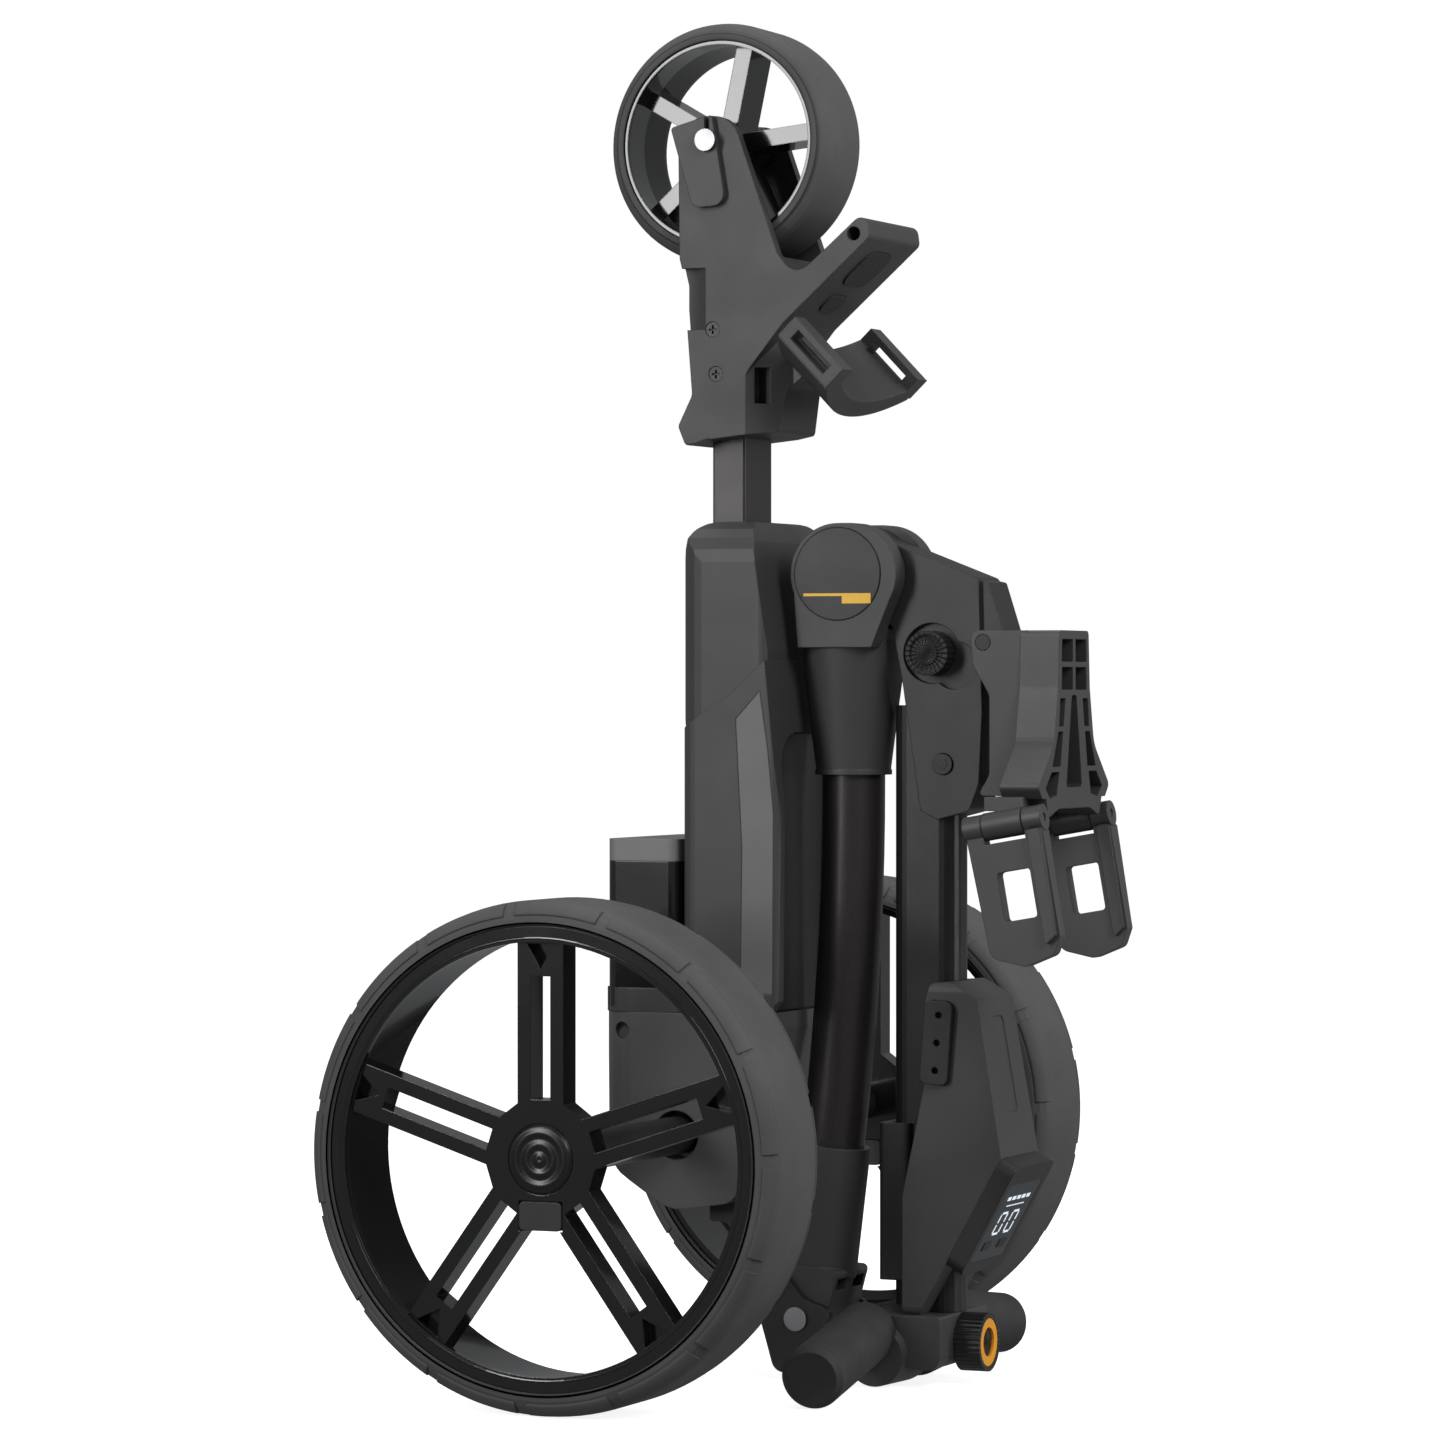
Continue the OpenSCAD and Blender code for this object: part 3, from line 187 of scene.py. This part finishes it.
def lacquered(name, colour, rough=0.36, metallic=0.35):
    """Powder-painted tube with a fine metallic fleck."""
    f = Finish(name, Coat_Weight=0.15, Coat_Roughness=0.25)
    fleck = f.noise(2600.0, 2.0)
    f.set("Base Color", f.shades(fleck, scaled(colour, 0.7), colour, scaled(colour, 1.5)))
    f.set("Metallic", metallic)
    f.set("Roughness", f.spread(f.noise(60.0, 4.0), rough - 0.06, rough + 0.08))
    f.relief(f.noise(1300.0, 3.0), 0.00004, 0.0005)
    return f.material


def turned(name, colour, rough=0.24):
    """Turned and plated steel, with fine rings of the tool and small stains."""
    f = Finish(name, Metallic=1.0)
    f.set("Base Color", f.shades(f.noise(30.0, 3.0), scaled(colour, 0.82), colour))
    rings = (f.axis("X") * 9000.0).wave()
    f.set("Roughness", f.spread(f.noise(90.0, 4.0), rough - 0.06, rough + 0.12))
    f.relief(rings, 0.000008, 0.0003)
    return f.material


def tread(name, colour, rough=0.72):
    """Foamed tyre rubber: dull, with a dusty bloom and fine open pores."""
    f = Finish(name)
    dust = f.noise(22.0, 5.0)
    f.set("Base Color", f.shades(dust, scaled(colour, 0.88), colour, scaled(colour, 1.14)))
    f.set("Roughness", f.spread(f.noise(70.0, 4.0), rough - 0.08, rough + 0.10))
    f.relief(f.noise(900.0, 4.0), 0.00006, 0.0008)
    return f.material


def dimpled(name, colour):
    """Soft pad with a small raised diamond pattern."""
    f = Finish(name)
    f.set("Base Color", f.shades(f.noise(60.0, 3.0), scaled(colour, 0.9), scaled(colour, 1.15)))
    f.set("Roughness", f.spread(f.noise(200.0, 2.0), 0.62, 0.80))
    across = (f.axis("X") * (math.pi / 0.0016)).wave()
    along = ((f.axis("Y") - f.axis("Z")) * (math.pi / 0.0022)).wave()
    f.relief((across * along).size(), 0.0003, 0.0004)
    return f.material


def ringed(name, colour, node, across, rough=0.42, ring=0.0016, ribs=0):
    """Turned-looking moulding: rings round the middle of a node, and ribs on its rim. across names the two axes."""
    f = Finish(name)
    low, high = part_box(node)
    middle = (low + high) / 2
    u, v = (f.axis(a) - middle["XYZ".index(a)] for a in across)
    f.set("Base Color", f.shades(f.noise(40.0, 3.0), scaled(colour, 0.85), scaled(colour, 1.2)))
    f.set("Roughness", f.spread(f.noise(90.0, 3.0), rough - 0.08, rough + 0.08))
    height = ((u * u + v * v).root() * (2 * math.pi / ring)).wave()
    if ribs:
        height = height * 0.3 + (u.angle(v) * ribs).wave()
    f.relief(height, 0.00022, 0.0006)
    return f.material


def ribbed_grip(name, colour):
    """Grip rubber with rings cut round it and a dull sheen."""
    f = Finish(name)
    f.set("Base Color", f.shades(f.noise(50.0, 4.0), scaled(colour, 0.85), scaled(colour, 1.2)))
    f.set("Roughness", f.spread(f.noise(120.0, 3.0), 0.58, 0.76))
    groove = (f.axis("X") * (2 * math.pi / 0.007)).wave() > 0.72
    f.relief(1.0 - groove + f.noise(1100.0, 2.0) * 0.06, 0.0005, 0.0006)
    return f.material


def lit(name, colour, strength):
    """Small lamp behind a clear window, a little brighter at its middle."""
    f = Finish(name, Emission_Strength=strength, Base_Color=colour)
    f.set("Emission Color", f.shades(f.noise(300.0, 1.0), scaled(colour, 0.9), colour))
    f.set("Roughness", f.spread(f.noise(150.0), 0.25, 0.4))
    return f.material


def board(name, colour):
    f = Finish(name)
    f.set("Base Color", f.shades(f.noise(120.0, 4.0), scaled(colour, 0.8), scaled(colour, 1.3)))
    f.set("Roughness", f.spread(f.noise(80.0), 0.35, 0.5))
    f.relief(f.noise(500.0, 2.0), 0.00005)
    return f.material


def window(name, colour):
    """Dark display window, smooth with faint fingerprints."""
    f = Finish(name, Coat_Weight=0.25, Coat_Roughness=0.12)
    f.set("Base Color", f.shades(f.noise(25.0), scaled(colour, 0.8), scaled(colour, 1.2)))
    f.set("Roughness", f.spread(f.noise(120.0, 4.0), 0.22, 0.36))
    f.set("Normal", f.eased(0.0004))
    return f.material


finishes = {
    "housing": moulded("moulded_dark_grey", (0.056, 0.056, 0.057)),
    "arm": moulded("moulded_bag_supports", (0.060, 0.060, 0.061), 0.44),
    "trim": moulded("moulded_mid_grey", (0.150, 0.150, 0.152), 0.40),
    "chassis": moulded("moulded_chassis_grey", (0.105, 0.105, 0.107), 0.45),
    "black": moulded("moulded_black", (0.022, 0.022, 0.023), 0.42),
    "stem": lacquered("painted_black_stem", (0.021, 0.018, 0.018)),
    "tube": lacquered("painted_brown_tube", (0.036, 0.031, 0.031)),
    "plate": lacquered("painted_black_plate", (0.016, 0.016, 0.016), 0.40, 0.1),
    "rim": gloss("gloss_black_rim", (0.006, 0.006, 0.0065)),
    "battery": gloss("gloss_black_battery", (0.008, 0.008, 0.009), 0.14),
    "strip": moulded("moulded_battery_strip", (0.20, 0.20, 0.205), 0.42),
    "tyre": tread("foam_tyre", (0.085, 0.085, 0.083)),
    "grip": ribbed_grip("grip_rubber", (0.032, 0.032, 0.032)),
    "pad": dimpled("dimpled_pad", (0.035, 0.035, 0.035)),
    "steel": turned("turned_steel", (0.34, 0.34, 0.35), 0.34),
    "gear": turned("cut_gear_steel", (0.36, 0.36, 0.37), 0.34),
    "screw": lacquered("black_screw", (0.014, 0.014, 0.014), 0.34, 0.6),
    "orange": moulded("moulded_orange", (1.0, 0.42, 0.02), 0.34, 0.0004),
    "board": board("sealed_board", (0.03, 0.08, 0.05)),
    "window": window("display_window", (0.010, 0.012, 0.015)),
    "lock": ringed("ringed_lock_knob", (0.016, 0.016, 0.016), "lock_knob", "YZ", ribs=24),
    "dial": ringed("ribbed_speed_knob", (0.014, 0.014, 0.014), "speed_knob", "XZ", ribs=36),
    "cap_left": ringed("ringed_cap_left", (0.007, 0.007, 0.007), "hub_cap_left", "YZ", 0.24, 0.0065),
    "cap_right": ringed("ringed_cap_right", (0.007, 0.007, 0.007), "hub_cap_right", "YZ", 0.24, 0.0065),
    "lamp": lit("pale_lamp", (0.75, 0.85, 0.95), 0.7),
    "stripe": moulded("printed_stripe", (1.0, 0.56, 0.03), 0.38, 0.0, 0.00001),
}

worn_by = {
    "housing": ["front_bracket", "fork_covers", "lower_cradle", "housing_cap", "housing_shell", "battery_tray",
                "pivot_knuckle", "fold_head", "control_housing", "t_bar"],
    "arm": ["bag_bracket", "bag_arm_left", "bag_arm_right"],
    "trim": ["side_trims"],
    "chassis": ["chassis"],
    "black": ["gearbox_left", "gearbox_right", "wheel_hub_left", "wheel_hub_right", "wheel_release_left",
              "wheel_release_right", "badge_discs", "handle_casing", "accessory_rails",
              "display_housing", "stem_collar", "front_panel"],
    "lock": ["lock_knob"],
    "dial": ["speed_knob"],
    "cap_left": ["hub_cap_left"],
    "cap_right": ["hub_cap_right"],
    "stem": ["handle_stem"],
    "tube": ["frame_tube", "upper_tube"],
    "plate": ["motor_can", "axle_tubes", "hinge_plates"],
    "rim": ["wheel_rim_left", "wheel_rim_right", "front_rim"],
    "battery": ["battery_case"],
    "strip": ["battery_top"],
    "tyre": ["wheel_tyre_left", "wheel_tyre_right", "front_tyre"],
    "grip": ["grips"],
    "pad": ["bag_rest_pads"],
    "steel": ["drive_axle", "axle_bearings", "front_axle", "pivot_pin", "fold_pin", "arm_pins"],
    "gear": ["final_gear", "motor_pinion"],
    "screw": ["bracket_screws", "casing_bolts"],
    "orange": ["knob_ring"],
    "board": ["controller"],
    "window": ["display_glass"],
}
for look, names in worn_by.items():
    for name in names:
        node = nodes[name]
        if not node.material_slots:
            node.data.materials.append(finishes[look])
        for slot in node.material_slots:
            slot.material = finishes[look]


# ---- small moulded pieces ----
MM = 0.001


def piece(name, mesh, look, body):
    """Closes a mesh, gives it its finish and lets it ride on a body."""
    bmesh.ops.remove_doubles(mesh, verts=mesh.verts, dist=1e-6)
    bmesh.ops.recalc_face_normals(mesh, faces=mesh.faces)
    data = bpy.data.meshes.new(name)
    mesh.to_mesh(data)
    mesh.free()
    made = bpy.data.objects.new(name, data)
    bpy.context.scene.collection.objects.link(made)
    data.materials.append(finishes[look])
    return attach(made, body)


def block(mesh, size, at, ease=0.0, steps=2):
    """A block of a size in metres, its edges rounded, carried by a matrix."""
    made = bmesh.ops.create_cube(mesh, size=1.0)["verts"]
    bmesh.ops.scale(mesh, vec=size, verts=made)
    if ease:
        edges = list({e for v in made for e in v.link_edges})
        bevelled = bmesh.ops.bevel(mesh, geom=edges, offset=ease, segments=steps, affect="EDGES",
                                   profile=0.5, material=-1)
        made = list({v for v in bevelled["verts"]} | {v for v in made if v.is_valid})
    bmesh.ops.transform(mesh, matrix=at, verts=made)


def disc(mesh, radius, depth, at, segments=48, top=None):
    """A round bar or cone along local Z, with its middle at the matrix's place."""
    made = bmesh.ops.create_cone(mesh, cap_ends=True, segments=segments, radius1=radius,
                                 radius2=radius if top is None else top, depth=depth)["verts"]
    bmesh.ops.transform(mesh, matrix=at, verts=made)
    return made


def middle_of(name):
    low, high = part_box(name)
    return (low + high) / 2


def tyre_pads(side, tyre, body, pads=15):
    """Long low pads round both shoulders of a drive tyre, parted by short dips."""
    low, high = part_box(tyre)
    centre = (low + high) / 2
    radius, half = (high.z - low.z) / 2, (high.x - low.x) / 2
    inset, sweep = 4.5 * MM, math.radians(21)
    mesh = bmesh.new()
    for shoulder in (-1, 1):
        lean = Matrix.Rotation(shoulder * math.radians(45), 4, "Y") @ Matrix.Rotation(math.pi / 2, 4, "X")
        for i in range(pads):
            section = bmesh.ops.create_circle(mesh, cap_ends=True, segments=14, radius=1.0)["verts"]
            bmesh.ops.scale(mesh, vec=(5.0 * MM, 1.5 * MM, 1.0), verts=section)
            turn = Matrix.Rotation(2 * math.pi * (i + 0.25 * shoulder) / pads, 4, "X")
            seat = Matrix.Translation((shoulder * (half - inset), 0, radius - inset))
            bmesh.ops.transform(mesh, matrix=Matrix.Translation(centre) @ turn @ seat @ lean, verts=section)
            faces = list({f for v in section for f in v.link_faces})
            edges = list({e for v in section for e in v.link_edges})
            bmesh.ops.spin(mesh, geom=section + edges + faces, cent=centre, axis=(1, 0, 0), angle=sweep, steps=12)
    piece(f"tyre_pads_{side}", mesh, "tyre", body)


def rim_ring(name, node, body, radius, inset):
    """Polished bead ring on the outer face of a rim's lip."""
    low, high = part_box(node)
    centre = (low + high) / 2
    face, x = (1, high.x) if centre.x > 0 else (-1, low.x)
    mesh = bmesh.new()
    section = bmesh.ops.create_circle(mesh, cap_ends=False, segments=10, radius=1.1 * MM)["verts"]
    upright = Matrix.Rotation(math.pi / 2, 4, "Y") @ Matrix.Rotation(math.pi / 2, 4, "X")
    bmesh.ops.transform(mesh, matrix=Matrix.Translation((x - face * inset, centre.y, centre.z + radius)) @ upright,
                        verts=section)
    edges = list({e for v in section for e in v.link_edges})
    bmesh.ops.spin(mesh, geom=edges, cent=centre, axis=(1, 0, 0), angle=2 * math.pi, steps=96, use_merge=True)
    piece(name, mesh, "rim", body)


def head_stripes():
    """A plain band across each disc of the fold joint: a fine line that widens towards the handle."""
    low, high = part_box("badge_discs")
    centre = (low + high) / 2
    for side, x in (("left", low.x), ("right", high.x)):
        mesh = bmesh.new()
        block(mesh, (0.5 * MM, 24 * MM, 1.6 * MM), Matrix.Translation((x, centre.y + 9 * MM, centre.z - 12 * MM)))
        block(mesh, (0.5 * MM, 18 * MM, 6.0 * MM), Matrix.Translation((x, centre.y - 12 * MM, centre.z - 14.2 * MM)),
              0.12 * MM, 1)
        piece(f"head_stripe_{side}", mesh, "stripe", "upper_frame")


def display_lamps():
    """Five charge lamps, two noughts, a line and two small keys on the display's window."""
    low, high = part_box("display_glass")
    centre = (low + high) / 2
    tilt = Matrix.Rotation(math.radians(119), 4, "X")
    face = Matrix.Translation(centre) @ tilt @ Matrix.Translation((0, 0, 0.75 * MM))
    lamps, keys = bmesh.new(), bmesh.new()
    for i in range(5):
        block(lamps, (5 * MM, 2.4 * MM, 0.2 * MM), face @ Matrix.Translation(((i - 2) * 7.5 * MM, 16 * MM, 0)))
    for x in (-9, 9):
        for y in (-8, 6):
            block(lamps, (8 * MM, 1.4 * MM, 0.2 * MM), face @ Matrix.Translation((x * MM, y * MM, 0)))
        for across in (-4.8, 4.8):
            for y in (-4.5, 2.5):
                block(lamps, (1.4 * MM, 5.6 * MM, 0.2 * MM),
                      face @ Matrix.Translation(((x + across) * MM, y * MM, 0)))
    for x in (-1, 1):
        block(keys, (11 * MM, 6 * MM, 0.7 * MM), face @ Matrix.Translation((x * 12 * MM, -16 * MM, 0)), 0.3 * MM)
    block(lamps, (28 * MM, 0.6 * MM, 0.2 * MM), face @ Matrix.Translation((0, 11 * MM, 0)))
    piece("display_lamps", lamps, "lamp", "handle")
    piece("display_keys", keys, "black", "handle")


def bolt_heads():
    """Washers with a raised rim round the casing's bolts."""
    mesh = bmesh.new()
    low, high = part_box("casing_bolts")
    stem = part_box("handle_stem")
    place = Vector((0, (stem[0].y + stem[1].y) / 2 - 14 * MM, low.z + 6 * MM))
    for x in (-1, 1):
        at = Matrix.Translation((x * 18.9 * MM, place.y, place.z)) @ Matrix.Rotation(math.pi / 2, 4, "Y")
        disc(mesh, 3.2 * MM, 0.6 * MM, at, 6)
    piece("casing_bolt_sockets", mesh, "screw", "handle")


def bar_flares():
    """The T-bar's cast shoulders, which swell from each grip into the foot of the control housing."""
    grip_low, grip_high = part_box("grips")
    bar_low, bar_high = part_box("t_bar")
    radius = 17.6 * MM
    for side, name in ((-1, "left"), (1, "right")):
        mesh = bmesh.new()
        inner, outer = 14 * MM, 43 * MM
        at = Matrix.Translation((side * (inner + outer) / 2, (grip_low.y + grip_high.y) / 2, 18.4 * MM)) \
            @ Matrix.Rotation(side * math.pi / 2, 4, "Y")
        made = disc(mesh, radius + 5 * MM, outer - inner, at, 56, radius)
        big = [v for v in made if abs(v.co.x) < 20 * MM]
        bmesh.ops.translate(mesh, vec=(0, -3 * MM, 5.2 * MM), verts=big)
        piece(f"bar_flare_{name}", mesh, "housing", "handle")


for side in ("left", "right"):
    tyre_pads(side, f"wheel_tyre_{side}", f"{side}_wheel")
    rim_ring(f"rim_bead_{side}", f"wheel_tyre_{side}", f"{side}_wheel", 122.2 * MM, 2.6 * MM)
head_stripes()
display_lamps()
bolt_heads()
bar_flares()


# ---- floor, light and camera ----
def plain(name, colour, rough, glow):
    f = Finish(name, Base_Color=colour, Roughness=rough, Emission_Color=(1.0, 1.0, 1.0), Emission_Strength=glow)
    return f.material


def studio():
    floor_mesh = bmesh.new()
    bmesh.ops.create_grid(floor_mesh, x_segments=1, y_segments=1, size=30.0)
    data = bpy.data.meshes.new("floor")
    floor_mesh.to_mesh(data)
    floor_mesh.free()
    floor = bpy.data.objects.new("floor", data)
    bpy.context.scene.collection.objects.link(floor)
    data.materials.append(plain("pale_floor", (0.86, 0.86, 0.86), 0.6, 0.86))
    floor.visible_glossy = floor.visible_diffuse = False

    world = bpy.data.worlds.new("studio")
    bpy.context.scene.world = world
    world.use_nodes = True
    tree = world.node_tree
    backdrop, soft = tree.nodes["Background"], tree.nodes.new("ShaderNodeBackground")
    backdrop.inputs[0].default_value, backdrop.inputs[1].default_value = (1.0, 1.0, 1.0, 1.0), 1.0
    soft.inputs[0].default_value, soft.inputs[1].default_value = (0.96, 0.98, 1.0, 1.0), 0.20
    ray, chosen = tree.nodes.new("ShaderNodeLightPath"), tree.nodes.new("ShaderNodeMixShader")
    tree.links.new(ray.outputs["Is Camera Ray"], chosen.inputs[0])
    tree.links.new(soft.outputs[0], chosen.inputs[1])
    tree.links.new(backdrop.outputs[0], chosen.inputs[2])
    tree.links.new(chosen.outputs[0], tree.nodes["World Output"].inputs[0])
    bpy.context.scene.view_settings.view_transform = "Standard"

    middle = Vector((0, 0, 0.40))
    for name, place, size, power in (
            ("key", (-1.5, -2.4, 2.2), (1.2, 1.6), 40.0),
            ("left_strip", (-2.4, 1.1, 1.3), (0.5, 2.0), 30.0),
            ("right_strip", (1.1, -2.6, 1.0), (0.5, 2.0), 26.0),
            ("top", (0.2, 0.2, 2.8), (2.0, 2.0), 26.0)):
        light = bpy.data.lights.new(name, "AREA")
        light.shape, light.size, light.size_y, light.energy = "RECTANGLE", size[0], size[1], power
        holder = bpy.data.objects.new(name, light)
        bpy.context.scene.collection.objects.link(holder)
        holder.location = place
        holder.rotation_mode = "QUATERNION"
        holder.rotation_quaternion = (middle - Vector(place)).to_track_quat("-Z", "Y")


def camera():
    data = bpy.data.cameras.new("camera")
    data.lens, data.sensor_width = 137.68, 36.0
    holder = bpy.data.objects.new("camera", data)
    bpy.context.scene.collection.objects.link(holder)
    holder.location = (-2.9864, -1.2720, 0.4022)
    yaw, pitch = 0.415, -0.006
    ahead = Vector((math.cos(pitch) * math.cos(yaw), math.cos(pitch) * math.sin(yaw), math.sin(pitch)))
    holder.rotation_mode = "QUATERNION"
    holder.rotation_quaternion = ahead.to_track_quat("-Z", "Y")
    data.clip_start, data.clip_end = 0.1, 100.0
    bpy.context.scene.camera = holder


studio()
camera()
